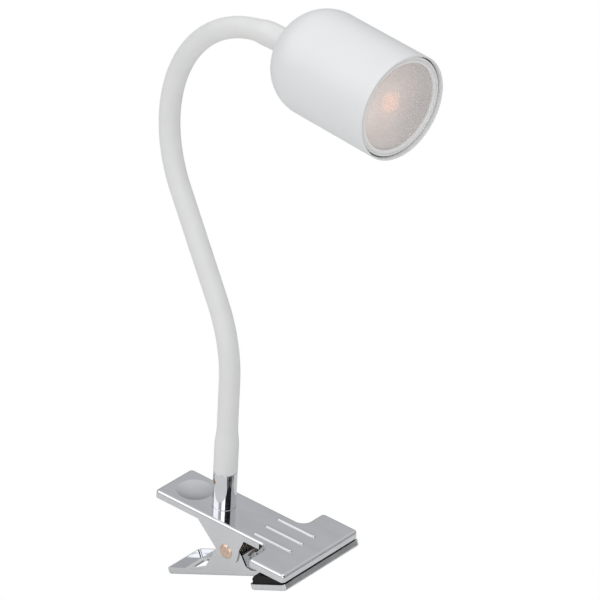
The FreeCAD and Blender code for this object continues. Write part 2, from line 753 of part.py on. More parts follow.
def outlet_bush():
    """The insulating bush that lines the cord outlet under the plate."""
    end, bore = -dim("nipple_down"), dim("bush_bore")
    return turned("cord_outlet_bush", clip_frame(), [
        (bore, end - dim("bush_flange"), 0.6),
        (dim("nipple_radius") + 0.6, end - dim("bush_flange"), 0.4),
        (dim("nipple_radius") + 0.6, end),
        (dim("nipple_bore"), end),
        (dim("nipple_bore"), end + dim("bush_depth")),
        (bore, end + dim("bush_depth")),
    ])


# ---------------------------------------------------------------- gooseneck
class Route:
    """The gooseneck's centreline in its own plane: straight runs joined by tangent arcs."""

    def __init__(self):
        self.pieces = []
        self.point = Vector(0, 0, value("post_height"))
        self.heading = 90.0
        self.length = 0.0
        self.run(value("rise") - value("post_height"))
        self.bend(value("back_bend_radius"), value("back_bend_turn"))
        self.run(value("slant"))
        self.bend(value("top_bend_radius"), -value("back_bend_turn") - 90 - value("head_dip"))
        self.run(value("run_in"))

    def direction(self, heading):
        angle = math.radians(heading)
        return Vector(math.cos(angle), 0, math.sin(angle))

    def run(self, length):
        self.pieces.append((self.length, length, self.point, self.heading, 0.0))
        self.point = self.point + self.direction(self.heading) * length
        self.length += length

    def bend(self, radius, turn):
        """Turns left (towards -X from upright) for a positive angle."""
        length = radius * math.radians(abs(turn))
        curve = math.copysign(1 / radius, turn)
        self.pieces.append((self.length, length, self.point, self.heading, curve))
        self.point, self.heading = self.along(self.pieces[-1], length)
        self.length += length

    def along(self, piece, distance):
        """Point and heading this far into a piece."""
        _, _, point, heading, curve = piece
        if not curve:
            return point + self.direction(heading) * distance, heading
        after = heading + math.degrees(distance * curve)
        side = (self.direction(heading + 90) - self.direction(after + 90)) / curve
        return point + side, after

    def at(self, distance):
        for piece in self.pieces:
            if distance <= piece[0] + piece[1] + 1e-9:
                return self.along(piece, distance - piece[0])
        raise ValueError("past the end of the gooseneck")

    def tube(self, start, end, radius, side=0.0):
        """A solid round bar along the centreline, side being its offset across the neck's plane."""
        bars = []
        for piece in self.pieces:
            low, high = max(start, piece[0]), min(end, piece[0] + piece[1])
            if high - low < 1e-6:
                continue
            point, heading = self.along(piece, low - piece[0])
            across = Vector(0, side, 0)
            ring = Part.Circle(point + across, self.direction(heading), radius).toShape()
            disc = Part.Face(Part.Wire(ring))
            if piece[4]:
                centre = point + self.direction(heading + 90) / piece[4]
                turn = math.degrees((high - low) * piece[4])
                bars.append(disc.revolve(centre, Vector(0, -1, 0), turn))
            else:
                bars.append(disc.extrude(self.direction(heading) * (high - low)))
        return bars[0].multiFuse(bars[1:]) if len(bars) > 1 else bars[0]


route = Route()


def joint_distances():
    """Distances along the neck of its joints: evenly spaced over the flexible length."""
    start, end = value("flex_start"), route.length - value("flex_end")
    pitch = (end - start) / NECK_JOINTS
    return [start + pitch * (i + 0.5) for i in range(NECK_JOINTS)]


def neck_stretch(number):
    """Where one stiff link of the neck starts and ends, and the joints at its two ends."""
    stops = [None] + joint_distances() + [None]
    before, after = stops[number - 1], stops[number]
    return (before or 0.0), (after or route.length), before is not None, after is not None


def neck_sleeve(number):
    """One link of the silicone sleeve: a cup over the last link's ball end, and a ball end of its own."""
    start, end, cup, ball = neck_stretch(number)
    radius, bore = value("sleeve_radius"), value("sleeve_bore")
    solid = route.tube(start, end, radius)
    if not cup:
        solid = solid.fuse(lower_collar())
    if not ball:
        solid = solid.fuse(upper_collar())
    if ball:
        solid = solid.fuse(Part.makeSphere(radius, route.at(end)[0]))
    reach_in = start + (0.0 if cup else value("collar_height") - 1.0)
    reach_out = end - (0.0 if ball else value("run_in"))
    hollow = route.tube(reach_in, reach_out, bore)
    if ball:
        point, heading = route.at(end)
        hollow = hollow.fuse(Part.makeCylinder(bore, radius + 1, point, route.direction(heading)))
    if not cup:
        socket = Part.makeCylinder(value("post_bore") + 0.02, value("collar_height"), route.at(0)[0])
        hollow = hollow.fuse(socket)
    if not ball:
        point, heading = route.at(reach_out)
        socket = Part.makeCylinder(
            value("post_bore") + 0.02, value("run_in") + 1, point, route.direction(heading)
        )
        hollow = hollow.fuse(socket)
    solid = solid.cut(hollow)
    if cup:
        solid = solid.cut(Part.makeSphere(radius + value("cup_gap"), route.at(start)[0]))
    return add_shape(f"neck_sleeve_{number}", solid.removeSplitter(), neck_frame())


def lower_collar():
    """The sleeve's thick lower end, over the ferrule, with its taper."""
    point = route.at(0)[0]
    thick = Part.makeCylinder(value("collar_radius"), value("collar_height"), point)
    point = route.at(value("collar_height"))[0]
    taper = Part.makeCone(value("collar_radius"), value("sleeve_radius"), value("taper_height"), point)
    return thick.fuse(taper)


def upper_collar():
    """The sleeve's thick upper end, behind the head, with a short taper."""
    begin = route.length - value("run_in")
    point, heading = route.at(begin)
    thick = Part.makeCylinder(
        value("collar_radius"), value("run_in"), point, route.direction(heading)
    )
    taper = Part.makeCone(
        value("sleeve_radius") - 0.2, value("collar_radius"), 5.0,
        point - route.direction(heading) * 5.0, route.direction(heading),
    )
    return thick.fuse(taper)


def neck_core(number):
    """One link of the flexible steel core that holds the gooseneck's shape."""
    start, end, cup, ball = neck_stretch(number)
    gap = value("core_end_gap")
    low = start + (value("core_recess") if cup else gap)
    high = end + (value("core_reach") if ball else -gap)
    outer, bore = (straight_end(low, high, ball, end, value(r)) for r in ("core_radius", "core_bore"))
    return add_shape(f"neck_core_{number}", outer.cut(bore).removeSplitter(), neck_frame())


def straight_end(low, high, ball, end, radius, side=0.0):
    """A bar along the neck that leaves its last joint in a straight line."""
    if not ball:
        return route.tube(low, high, radius, side)
    bar = route.tube(low, end, radius, side)
    point, heading = route.at(end)
    tip = Part.makeCylinder(radius, high - end, point + Vector(0, side, 0), route.direction(heading))
    return bar.fuse(tip)


def neck_leads(number):
    """The two insulated leads inside one link of the core."""
    start, end, cup, ball = neck_stretch(number)
    low = start + (value("core_recess") if cup else -value("lead_tail"))
    high = end + (value("core_reach") if ball else 0.0)
    leads = []
    for side in (-value("lead_offset"), value("lead_offset")):
        bar = straight_end(max(low, 0.0), high, ball, end, value("lead_radius"), side)
        if not cup:
            foot = route.at(0)[0] + Vector(0, side, low)
            bar = bar.fuse(Part.makeCylinder(value("lead_radius"), -low, foot))
        leads.append(bar.removeSplitter())
    return add_shape(f"neck_leads_{number}", Part.makeCompound(leads), neck_frame())


def lower_ferrule():
    """The steel end fitting crimped on the core and held in the post."""
    frame = clip_frame()
    top = dim("post_height")
    radius, bore, socket = dim("post_bore") - 0.02, dim("core_bore"), dim("core_radius") + 0.01
    low, high = top - dim("ferrule_depth"), top + dim("collar_height") - 0.1
    body = turned("lower_ferrule", frame, [
        (bore, low),
        (radius, low, 0.4),
        (radius, high, 0.4),
        (socket, high),
        (socket, top + dim("core_end_gap")),
        (bore, top + dim("core_end_gap")),
    ])
    doc.recompute()
    cross_hole(body, dim("post_radius") + 1.0)
    return body


def upper_ferrule():
    """The steel end fitting on the core's upper end, with the hollow screw that enters the head."""
    back, bore, socket = -dim("head_length"), dim("core_bore"), dim("core_radius") + 0.01
    low, high = back - dim("run_in") + 0.2, back + dim("ferrule_screw")
    radius = dim("post_bore")
    return turned("upper_ferrule", head_frame(), [
        (socket, low),
        (radius, low),
        (radius, high, 0.4),
        (bore, high),
        (bore, back - dim("core_end_gap")),
        (socket, back - dim("core_end_gap")),
    ])


# ---------------------------------------------------------------- head
def head_frame():
    """Origin at the centre of the head's rim, local Z out of its mouth."""
    point, heading = route.at(route.length)
    rim = point + route.direction(heading) * value("head_length")
    return neck_frame() * Placement(rim, Rotation(Vector(0, 1, 0), 90 - heading))


def head_shell():
    """The spun steel cup with a rounded back and a hole for the ferrule."""
    wall, radius, back = dim("head_wall"), dim("head_radius"), -dim("head_length")
    bend = dim("head_round")
    hole = dim("post_bore")
    return turned("head_shell", head_frame(), [
        (radius - wall, 0.0, 0.35),
        (radius, 0.0, 0.35),
        (radius, back, bend),
        (hole, back),
        (hole, back + wall),
        (radius - wall, back + wall, bend - wall),
    ])


def head_washer():
    """The plain washer between the shell's back and the lampholder's bracket."""
    seat = -dim("head_length") + dim("head_wall") + 0.3
    return turned("head_washer", head_frame(), [
        (dim("nipple_radius"), seat),
        (8.0, seat),
        (8.0, seat + dim("washer_height")),
        (dim("nipple_radius"), seat + dim("washer_height")),
    ])


def bracket_seat():
    return -dim("head_length") + dim("head_wall") + 0.3 + dim("washer_height")


def holder_back():
    return -dim("holder_depth") - dim("holder_height")


def holder_bracket():
    """The folded steel strap that holds the lampholder over the ferrule's nut."""
    body = add_body("holder_bracket", head_frame())
    seat, top = bracket_seat(), holder_back()
    gauge, leg, foot = 1.0, 9.5, 15.0
    half = [
        (leg, seat),
        (leg, top - gauge),
        (foot, top - gauge),
        (foot, top),
        (leg - gauge, top),
        (leg - gauge, seat + gauge),
    ]
    strap = half + [(-as_size(x), z) for x, z in reversed(half)]
    sketch = add_sketch(body, "XZ_Plane", [strap])
    add_feature(body, "Pad", sketch, 8.0, midplane=True)
    hole = add_sketch(body, "XY_Plane", circles=[(0.0, 0.0, dim("nipple_radius"))], level=seat + gauge)
    add_feature(body, "Pocket", hole, gauge * 2, up=False)
    screws = [(dim("screw_offset") * side, 0.0, dim("screw_radius")) for side in (-1, 1)]
    holes = add_sketch(body, "XY_Plane", circles=screws, level=top)
    add_feature(body, "Pocket", holes, gauge * 2, up=False)
    return body


def holder_screws():
    """The two screws through the bracket's feet into the lampholder, as one node."""
    seat = value("holder_depth") + value("holder_height") + 1.0
    solids = []
    for side in (-1, 1):
        centre = Vector(side * value("screw_offset"), 0, -seat)
        head = Part.makeCylinder(2.3, 1.6, centre - Vector(0, 0, 1.6))
        shank = Part.makeCylinder(value("screw_radius"), 4.0, centre)
        slot = Part.makeBox(5, 0.6, 0.7, centre + Vector(-2.5, -0.3, -1.7))
        solids.append(head.fuse(shank).cut(slot).removeSplitter())
    return add_shape("holder_screws", Part.makeCompound(solids), head_frame())


def lampholder():
    """The ceramic bayonet lampholder: two curved keyhole slots, each over a cavity with a contact."""
    face, deep = -value("holder_depth"), value("holder_height")
    body = Part.makeCylinder(value("holder_radius"), deep, Vector(0, 0, face - deep))
    edges = [e for e in body.Edges if abs(e.BoundBox.ZMax - e.BoundBox.ZMin) < 1e-6]
    body = body.makeChamfer(0.6, edges)
    offset, twist = value("pin_offset"), value("twist")
    lip, cavity = 2.0, 8.6
    for turn in (90, 270):
        neck = ring_sector(offset, value("pin_neck") + 0.2, turn, turn + twist, face - lip - 1, lip + 2)
        wide = ring_sector(
            offset, value("pin_head") + 0.3, turn, turn + twist, face - lip - cavity, cavity
        )
        angle = math.radians(turn + twist)
        centre = Vector(offset * math.cos(angle), offset * math.sin(angle), face - lip - 1)
        entry = Part.makeCylinder(value("pin_head") + 0.2, lip + 2, centre)
        body = body.cut(neck).cut(wide).cut(entry)
    for side in (-1, 1):
        centre = Vector(side * value("screw_offset"), 0, face - deep)
        body = body.cut(Part.makeCylinder(value("screw_radius"), 3.2, centre))
    for turn in (90, 270):
        angle = math.radians(turn)
        reach = value("lead_reach")
        centre = Vector(reach * math.cos(angle), reach * math.sin(angle), face - deep)
        body = body.cut(Part.makeCylinder(value("lead_radius") + 0.1, 2.5, centre))
    return add_shape("lampholder", body.removeSplitter(), head_frame())


def ring_sector(offset, half_width, start, end, level, height):
    """A curved slot: a round cutter moved along an arc about the axis."""
    section = Part.makePlane(2 * half_width, height)
    section.rotate(Vector(), Vector(1, 0, 0), 90)
    section.translate(Vector(offset - half_width, 0, level))
    section.rotate(Vector(), Vector(0, 0, 1), start)
    sector = section.revolve(Vector(), Vector(0, 0, 1), end - start)
    for turn in (start, end):
        angle = math.radians(turn)
        centre = Vector(offset * math.cos(angle), offset * math.sin(angle), level)
        sector = sector.fuse(Part.makeCylinder(half_width, height, centre))
    return sector


def holder_contacts():
    """The two brass contacts behind the bayonet pins, as one node."""
    base = -value("holder_depth") - 10.6
    solids = []
    for turn in (90, 270):
        angle = math.radians(turn + value("twist") / 2)
        plate = Part.makeBox(3.0, 4.4, 0.5, Vector(-1.5, -2.2, 0))
        blade = Part.makeBox(3.0, 0.5, 3.0, Vector(-1.5, -2.2, 0))
        contact = plate.fuse(blade)
        contact.rotate(Vector(), Vector(0, 0, 1), turn + value("twist") / 2 - 90)
        offset = value("pin_offset")
        contact.translate(Vector(offset * math.cos(angle), offset * math.sin(angle), base))
        solids.append(contact.removeSplitter())
    return add_shape("holder_contacts", Part.makeCompound(solids), head_frame())


def holder_leads():
    """The two leads from the gooseneck to the back of the lampholder, as one node."""
    back = -value("head_length")
    top = -value("holder_depth") - value("holder_height") + 2.4
    radius, offset = value("lead_radius"), value("lead_offset")
    solids = []
    for side in (-1, 1):
        stops = [
            Vector(0, side * offset, back),
            Vector(0, side * offset, back + 7.5),
            Vector(0, side * value("lead_reach"), top - 4.5),
            Vector(0, side * value("lead_reach"), top),
        ]
        bars = [Part.makeSphere(radius, stop) for stop in stops[1:3]]
        for low, high in zip(stops, stops[1:]):
            bars.append(Part.makeCylinder(radius, (high - low).Length, low, high - low))
        solids.append(bars[0].multiFuse(bars[1:]).removeSplitter())
    return add_shape("holder_leads", Part.makeCompound(solids), head_frame())


# ---------------------------------------------------------------- lamp
def lamp_housing():
    """The lamp's moulded housing, with the ring round its face."""
    wall, radius = dim("lamp_wall"), dim("lamp_radius")
    face, end = -dim("lamp_recess"), -dim("base_depth") + 1.2
    base = dim("base_radius")
    lens, seat = dim("lens_radius"), -dim("lens_recess") - dim("lens_thickness")
    return turned("lamp_housing", head_frame(), [
        (lens, face, 0.5),
        (lens + 1.5, face),
        (lens + 1.6, face - 0.45),
        (lens + 2.0, face - 0.45),
        (lens + 2.1, face),
        (radius, face, 0.6),
        (radius, face - 6.0, 1.0),
        (radius - 1.0, face - 6.6, 0.5),
        (radius - 2.0, face - 20.0, 8.0),
        (base + 1.5, end + 9.0, 4.0),
        (base, end),
        (base - wall, end),
        (base + 1.5 - wall, end + 9.0, 4.0),
        (radius - 2.0 - wall, face - 20.0, 8.0),
        (radius - 1.0 - wall, seat - 2.0),
        (lens - 0.9, seat - 2.0),
        (lens - 0.9, seat),
        (lens, seat),
    ])


def lamp_lens():
    """The clear ribbed lens in the lamp's face."""
    top = -dim("lens_recess")
    radius = dim("lens_radius") - 0.05
    return turned("lamp_lens", head_frame(), [
        (0.0, top - dim("lens_thickness")),
        (radius, top - dim("lens_thickness")),
        (radius, top, 0.3),
        (0.0, top),
    ])


def lamp_reflector():
    """The white cone between the LED and the lens."""
    low, high = -dim("board_depth"), -dim("lens_recess") - dim("lens_thickness") - 2.2
    narrow, wide = dim("chip_radius") + 1.6, dim("lens_radius") - 1.6
    return turned("lamp_reflector", head_frame(), [
        (narrow, low),
        (wide, high),
        (wide + 0.8, high),
        (wide + 0.8, high - 0.5),
        (narrow + 1.4, low),
    ])


def led_board():
    """The aluminium board under the LED."""
    level = -dim("board_depth")
    return turned("led_board", head_frame(), [
        (0.0, level - 1.2),
        (dim("board_radius"), level - 1.2),
        (dim("board_radius"), level),
        (0.0, level),
    ])


def led_chip():
    """The LED's phosphor disc."""
    level = -dim("board_depth")
    return turned("led_chip", head_frame(), [
        (0.0, level),
        (dim("chip_radius"), level),
        (dim("chip_radius"), level + dim("chip_height"), 0.3),
        (0.0, level + dim("chip_height")),
    ])


def driver_board():
    """The driver's circuit board, standing on the lamp's axis."""
    body = add_body("driver_board", head_frame())
    top = -dim("board_depth") - 1.6
    half, narrow, shoulder, length = 11.0, 8.0, 20.0, 32.0
    board = [
        (-half, top), (half, top), (half, top - shoulder),
        (narrow, top - length), (-narrow, top - length), (-half, top - shoulder),
    ]
    sketch = add_sketch(body, "XZ_Plane", [board])
    add_feature(body, "Pad", sketch, 1.2, midplane=True)
    return body


def driver_components():
    """The capacitor, coil and bridge on the driver board, as one node."""
    top = -value("board_depth") - 1.6
    front = 0.6
    capacitor = Part.makeCylinder(3.6, 11.0, Vector(5.0, front + 3.6, top - 18.0))
    coil = Part.makeCylinder(4.0, 6.5, Vector(-5.0, front, top - 9.0), Vector(0, 1, 0))
    coil = coil.cut(Part.makeTorus(4.4, 1.4, Vector(-5.0, front + 3.4, top - 9.0), Vector(0, 1, 0)))
    bridge = Part.makeBox(5.0, 2.2, 5.0, Vector(-7.5, -front - 2.2, top - 22.0))
    chip = Part.makeBox(4.0, 1.5, 5.0, Vector(3.0, -front - 1.5, top - 14.0))
    parts = Part.makeCompound([capacitor, coil, bridge, chip])
    return add_shape("driver_components", parts, head_frame())


def lamp_base():
    """The lamp's base: the disc that closes the housing and carries the bayonet pins."""
    body = turned("lamp_base", head_frame(), [
        (0.0, -dim("base_depth")),
        (dim("base_radius") - 0.6, -dim("base_depth"), 0.5),
        (dim("base_radius") - 0.6, -dim("base_depth") + 1.1),
        (dim("base_radius") - dim("lamp_wall") - 0.1, -dim("base_depth") + 1.1),
        (dim("base_radius") - dim("lamp_wall") - 0.1, -dim("base_depth") + 3.0),
        (0.0, -dim("base_depth") + 3.0),
    ])
    doc.recompute()
    holes = [(0.0, side * dim("pin_offset"), dim("pin_neck")) for side in (-1, 1)]
    sketch = add_sketch(body, "XY_Plane", circles=holes, level=-dim("base_depth"))
    add_feature(body, "Pocket", sketch, 3.5, up=True)
    return body


def bayonet_pins():
    """The lamp's two headed pins, as one node."""
    level = -value("base_depth")
    solids = []
    for side in (-1, 1):
        centre = Vector(0, side * value("pin_offset"), level)
        neck = Part.makeCylinder(value("pin_neck"), 7.6, centre - Vector(0, 0, 4.6))
        head = Part.makeCylinder(value("pin_head"), 2.2, centre - Vector(0, 0, 5.4))
        edges = [e for e in head.Edges if e.BoundBox.ZMax < level - 5.3]
        solids.append(neck.fuse(head.makeChamfer(0.5, edges)).removeSplitter())
    return add_shape("bayonet_pins", Part.makeCompound(solids), head_frame())


# ---------------------------------------------------------------- build, check and write
def build_all():
    """Makes every sub-part and returns them all."""
    nut_seat = -dim("sheet_gauge") - dim("washer_height")
    parts = [
        upper_lever(), lower_lever(), upper_jaw_pad(), lower_jaw_pad(), pivot_rivet(), torsion_spring(),
        post_tube(), grub_screw(), post_nipple(), toothed_washer(), outlet_bush(),
        nut("post_nut", clip_frame(), nut_seat, up=False),
        lower_ferrule(), upper_ferrule(),
    ]
    for number in range(1, NECK_JOINTS + 2):
        parts += [neck_sleeve(number), neck_core(number), neck_leads(number)]
    head_nut_seat = bracket_seat() + 1.0
    parts += [
        head_shell(), head_washer(), holder_bracket(), nut("head_nut", head_frame(), head_nut_seat, up=True),
        holder_screws(), lampholder(), holder_contacts(), holder_leads(),
        lamp_housing(), lamp_lens(), lamp_reflector(), led_board(), led_chip(), driver_board(),
        driver_components(), lamp_base(), bayonet_pins(),
    ]
    doc.recompute()
    return parts


def check_all(parts):
    """Stops if any object failed or any sub-part is empty or broken."""
    for item in doc.Objects:
        if "Invalid" in item.State or "Error" in item.State:
            raise RuntimeError(f"{item.Name} failed: {item.State}")
    for part in parts:
        shape = part.Shape
        if shape.isNull() or not shape.isValid() or not shape.Solids:
            raise RuntimeError(f"{part.Label} has no valid solid")


def write_all(parts):
    os.makedirs("parts", exist_ok=True)
    for part in parts:
        part.Shape.exportStep(f"parts/{part.Label}.step")


def print_joints():
    """The joints' places and axes in the part's frame, in metres, for the record."""
    frame = neck_frame()
    for number, distance in enumerate(joint_distances(), 1):
        point, heading = route.at(distance)
        place = frame.multVec(point) / 1000
        local = Vector(0, -1, 0) if number % 2 else route.direction(heading + 90)
        axis = frame.Rotation.multVec(local)
        print(f"neck_bend_{number}", [round(v, 6) for v in place], [round(v, 6) for v in axis])
    head = head_frame()
    print("lamp_twist", [round(v / 1000, 6) for v in head.Base],
          [round(v, 6) for v in head.Rotation.multVec(Vector(0, 0, 1))])
    pin = lever_frame().Base / 1000
    print("clip_hinge", [round(v, 6) for v in pin], [0, 1, 0])
    print("neck length", round(route.length, 2))


all_parts = build_all()
check_all(all_parts)
write_all(all_parts)
print_joints()
print(len(all_parts), "sub-parts written")
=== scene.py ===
import json
import math

import bmesh
import bpy
from mathutils import Matrix, Vector


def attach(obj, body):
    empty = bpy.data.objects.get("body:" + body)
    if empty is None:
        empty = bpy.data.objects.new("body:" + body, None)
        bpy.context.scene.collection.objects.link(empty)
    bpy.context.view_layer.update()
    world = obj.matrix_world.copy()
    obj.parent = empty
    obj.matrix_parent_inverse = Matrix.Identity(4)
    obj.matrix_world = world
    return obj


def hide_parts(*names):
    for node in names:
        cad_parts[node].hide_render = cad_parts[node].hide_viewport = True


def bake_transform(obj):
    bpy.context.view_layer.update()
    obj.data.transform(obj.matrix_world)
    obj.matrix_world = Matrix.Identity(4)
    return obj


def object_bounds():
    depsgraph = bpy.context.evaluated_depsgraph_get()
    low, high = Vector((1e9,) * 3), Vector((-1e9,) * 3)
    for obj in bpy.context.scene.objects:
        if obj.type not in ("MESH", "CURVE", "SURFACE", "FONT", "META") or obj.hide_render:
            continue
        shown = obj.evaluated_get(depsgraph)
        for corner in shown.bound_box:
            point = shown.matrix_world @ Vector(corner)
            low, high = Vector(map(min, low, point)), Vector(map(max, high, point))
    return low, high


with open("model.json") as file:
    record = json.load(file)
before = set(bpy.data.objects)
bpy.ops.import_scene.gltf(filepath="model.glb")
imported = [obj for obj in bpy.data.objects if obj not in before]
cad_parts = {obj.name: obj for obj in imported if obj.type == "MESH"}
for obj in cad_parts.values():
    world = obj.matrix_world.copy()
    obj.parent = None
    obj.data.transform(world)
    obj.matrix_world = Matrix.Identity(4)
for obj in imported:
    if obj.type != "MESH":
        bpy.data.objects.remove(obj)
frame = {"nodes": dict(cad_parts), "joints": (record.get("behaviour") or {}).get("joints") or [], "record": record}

cad_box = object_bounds()

MM = 0.001

# Places in the part's frame
POST_AXIS = Vector((-52.3 * MM, 0, 4.9 * MM))   # post's axis at the top of the plate
JOINTS = {joint["name"]: joint for joint in frame["joints"]}
FLOOR = cad_box[0].z

# The unpolished stretch of the lower lever's floor: its ends along X, and how steeply it faces up
DULL_FROM, DULL_TO = -48.0 * MM, 2.0 * MM
DULL_FACING = 0.8

# Gooseneck
NECK_AZIMUTH = math.radians(-6.6)
POST_HEIGHT = 20.67 * MM
RISE = 73.0 * MM
BACK_BEND_RADIUS = 80.0 * MM
BACK_BEND_TURN = math.radians(30.4)
SLANT = 58.9 * MM
TOP_BEND_RADIUS = 72.0 * MM
HEAD_DIP = math.radians(1.6)
RUN_IN = 9.4 * MM
FLEX_START = 25.0 * MM
FLEX_END = 25.0 * MM
NECK_JOINTS = 8
SLEEVE_RADIUS = 5.35 * MM
SLEEVE_BORE = 3.9 * MM
COLLAR_RADIUS = 6.2 * MM
FOOT_FLARE = 0.12 * MM
FOOT_FLARE_LENGTH = 3.0 * MM
COLLAR_BORE = 5.02 * MM
LOWER_COLLAR = 15.3 * MM
LOWER_TAPER = 10.0 * MM
UPPER_COLLAR = 17.0 * MM
UPPER_TAPER = 9.0 * MM
SLEEVE_LIP = 0.5 * MM
SLEEVE_SIDES = 56
RING_SPACING = 1.0 * MM
LIP_RINGS = (0.05, 0.2, 0.5)    # shares of the lip at which rings lie
BLEND_INSET = 1.5 * MM          # from a link's middle to where the bend starts

# Head, measured back from the centre of its rim
LENS_RADIUS = 21.7 * MM
LENS_DEPTH = 2.9 * MM
LENS_THICKNESS = 1.5 * MM
LENS_SIDES = 120
LENS_PROFILE = (                # mm in from the lens's edge, mm below its border
    (0.0, 0.0), (0.55, 0.0), (0.75, 0.06), (0.95, 0.12),
    (1.15, 0.14), (4.0, 0.14), (10.0, 0.14), (16.0, 0.14),
)
PRISM_PITCH = 0.95 * MM
PRISM_HEIGHT, CROSS_HEIGHT = 0.05 * MM, 0.025 * MM
# Painted glow of the LED's light on the lens face: its brightest spot, the distances over which it fades out, and
# its strength
PAINTED_GLOW_SPOT = Vector((0, -15 * MM, 4 * MM))       # brightest spot, from the rim's centre
PAINTED_GLOW_NEAR, PAINTED_GLOW_FAR = 4 * MM, 32 * MM
PAINTED_GLOW_STRENGTH = 0.11
BOARD_DEPTH = 8.6 * MM
CHIP_SIDE = 9.2 * MM
CHIP_CORNER = 2.2 * MM
CHIP_HEIGHT = 0.8 * MM
CHIP_PROFILE = ((0.0, 0.0), (0.0, 0.5), (0.25, 0.85), (0.7, 1.0))   # mm in, share of the height
CORNER_STEPS = 8

# Stage
FLOOR_GAP = 0.2 * MM            # from the object's lowest point to the grey floor
SEEN_FLOOR_GAP = 0.5 * MM       # from the grey floor to the white one
UP = Vector((0, 0, 1))
DARK = 0.01                     # glow of the dark cards
SKY_TOP = 0.87                  # height in the sky at which its strength stops rising
SKY_LOW, SKY_HIGH = 0.26, 0.68  # its strength at the horizon and overhead


# ---------------------------------------------------------------- camera
def make_camera():
    """The camera, at the photograph's viewing angle."""
    azimuth, dip, roll = math.radians(38.60), math.radians(30.15), math.radians(-3.07)
    right = Vector((math.cos(azimuth), math.sin(azimuth), 0))
    ahead = Vector((
        -math.sin(azimuth) * math.cos(dip), math.cos(azimuth) * math.cos(dip), -math.sin(dip)
    ))
    down = ahead.cross(right)
    rolled_right = right * math.cos(roll) + down * math.sin(roll)
    rolled_down = down * math.cos(roll) - right * math.sin(roll)
    data = bpy.data.cameras.new("camera")
    data.sensor_width = 36.0
    data.lens = 265.31
    data.clip_start = 0.01
    camera = bpy.data.objects.new("camera", data)
    bpy.context.scene.collection.objects.link(camera)
    turn = Matrix((rolled_right, -rolled_down, -ahead)).transposed().to_4x4()
    camera.matrix_world = Matrix.Translation((1.14636, -1.44890, 1.21866)) @ turn
    bpy.context.scene.camera = camera


# ---------------------------------------------------------------- materials
def set_range(node, from_low, from_high, low, high):
    """Sets the ends of a Map Range node."""
    sockets = ("From Min", "From Max", "To Min", "To Max")
    for socket, number in zip(sockets, (from_low, from_high, low, high)):
        node.inputs[socket].default_value = number


class Surface:
    """A material with short ways to add nodes to its Principled shader."""

    def __init__(self, name, colour, roughness, **sockets):
        self.material = bpy.data.materials.new(name)
        self.material.use_nodes = True
        self.nodes = self.material.node_tree.nodes
        self.links = self.material.node_tree.links
        self.shader = self.nodes["Principled BSDF"]
        self.shader.inputs["Base Color"].default_value = (*colour, 1)
        self.shader.inputs["Roughness"].default_value = roughness
        for socket, number in sockets.items():
            self.shader.inputs[socket.replace("_", " ")].default_value = number
        self.place = self.nodes.new("ShaderNodeTexCoord").outputs["Object"]

    def stretched(self, x, y, z):
        """Object coordinates, scaled along each axis to draw out a pattern."""
        node = self.nodes.new("ShaderNodeMapping")
        node.inputs["Scale"].default_value = (x, y, z)
        self.links.new(self.place, node.inputs["Vector"])
        return node.outputs["Vector"]

    def noise(self, scale, detail=3.0, vector=None):
        """A cloudy pattern."""
        node = self.nodes.new("ShaderNodeTexNoise")
        node.inputs["Scale"].default_value = scale
        node.inputs["Detail"].default_value = detail
        self.links.new(vector or self.place, node.inputs["Vector"])
        return node.outputs["Fac"]

    def spots(self, scale):
        """Distance to the nearest of many scattered points."""
        node = self.nodes.new("ShaderNodeTexVoronoi")
        node.inputs["Scale"].default_value = scale
        self.links.new(self.place, node.inputs["Vector"])
        return node.outputs["Distance"]

    def spread(self, source, low, high, from_low=0.3, from_high=0.7):
        """Maps a pattern to the numbers between low and high."""
        node = self.nodes.new("ShaderNodeMapRange")
        set_range(node, from_low, from_high, low, high)
        self.links.new(source, node.inputs["Value"])
        return node.outputs["Result"]

    def tint(self, source, first, second, low=0.35, high=0.65):
        """Colours a pattern from first to second."""
        node = self.nodes.new("ShaderNodeValToRGB")
        stops = zip(node.color_ramp.elements, (low, high), (first, second))
        for element, position, colour in stops:
            element.position = position
            element.color = (*colour, 1)
        self.links.new(source, node.inputs["Fac"])
        return node.outputs["Color"]

    def ridges(self, across):
        """Straight parallel ridges, one pitch apart along a direction."""
        level = self.nodes.new("ShaderNodeVectorMath")
        level.operation = "DOT_PRODUCT"
        self.links.new(self.place, level.inputs[0])
        level.inputs[1].default_value = across.to_3d().normalized() * (math.pi / PRISM_PITCH)
        source = level.outputs["Value"]
        for operation in ("SINE", "ABSOLUTE"):
            node = self.nodes.new("ShaderNodeMath")
            node.operation = operation
            self.links.new(source, node.inputs[0])
            source = node.outputs["Value"]
        return source

    def near(self, point):
        """Distance from a point."""
        node = self.nodes.new("ShaderNodeVectorMath")
        node.operation = "DISTANCE"
        self.links.new(self.place, node.inputs[0])
        node.inputs[1].default_value = point
        return node.outputs["Value"]

    def feed(self, socket, source):
        """Links a pattern to one of the shader's sockets."""
        self.links.new(source, self.shader.inputs[socket])

    def bump(self, *layers):
        """Raises the surface by several patterns, each with its height in metres."""
        normal = None
        for source, height in layers:
            node = self.nodes.new("ShaderNodeBump")
            node.inputs["Distance"].default_value = height
            self.links.new(source, node.inputs["Height"])
            if normal:
                self.links.new(normal, node.inputs["Normal"])
            normal = node.outputs["Normal"]
        self.feed("Normal", normal)


def chrome(name="chrome", smoothest=0.045, roughest=0.11):
    """Bright plating on pressed sheet: slow waves, fine grain and faint wipe marks."""
    s = Surface(name, (0.80, 0.81, 0.83), 0.07, Metallic=1.0)
    smear = s.noise(40, 4, s.stretched(1.0, 3.0, 1.0))
    s.feed("Base Color", s.tint(smear, (0.77, 0.78, 0.80), (0.82, 0.83, 0.85)))
    s.feed("Roughness", s.spread(s.noise(180, 5), smoothest, roughest))
    s.bump((s.noise(70, 1), 0.006 * MM), (s.noise(1800, 2), 0.0006 * MM))
    return s.material


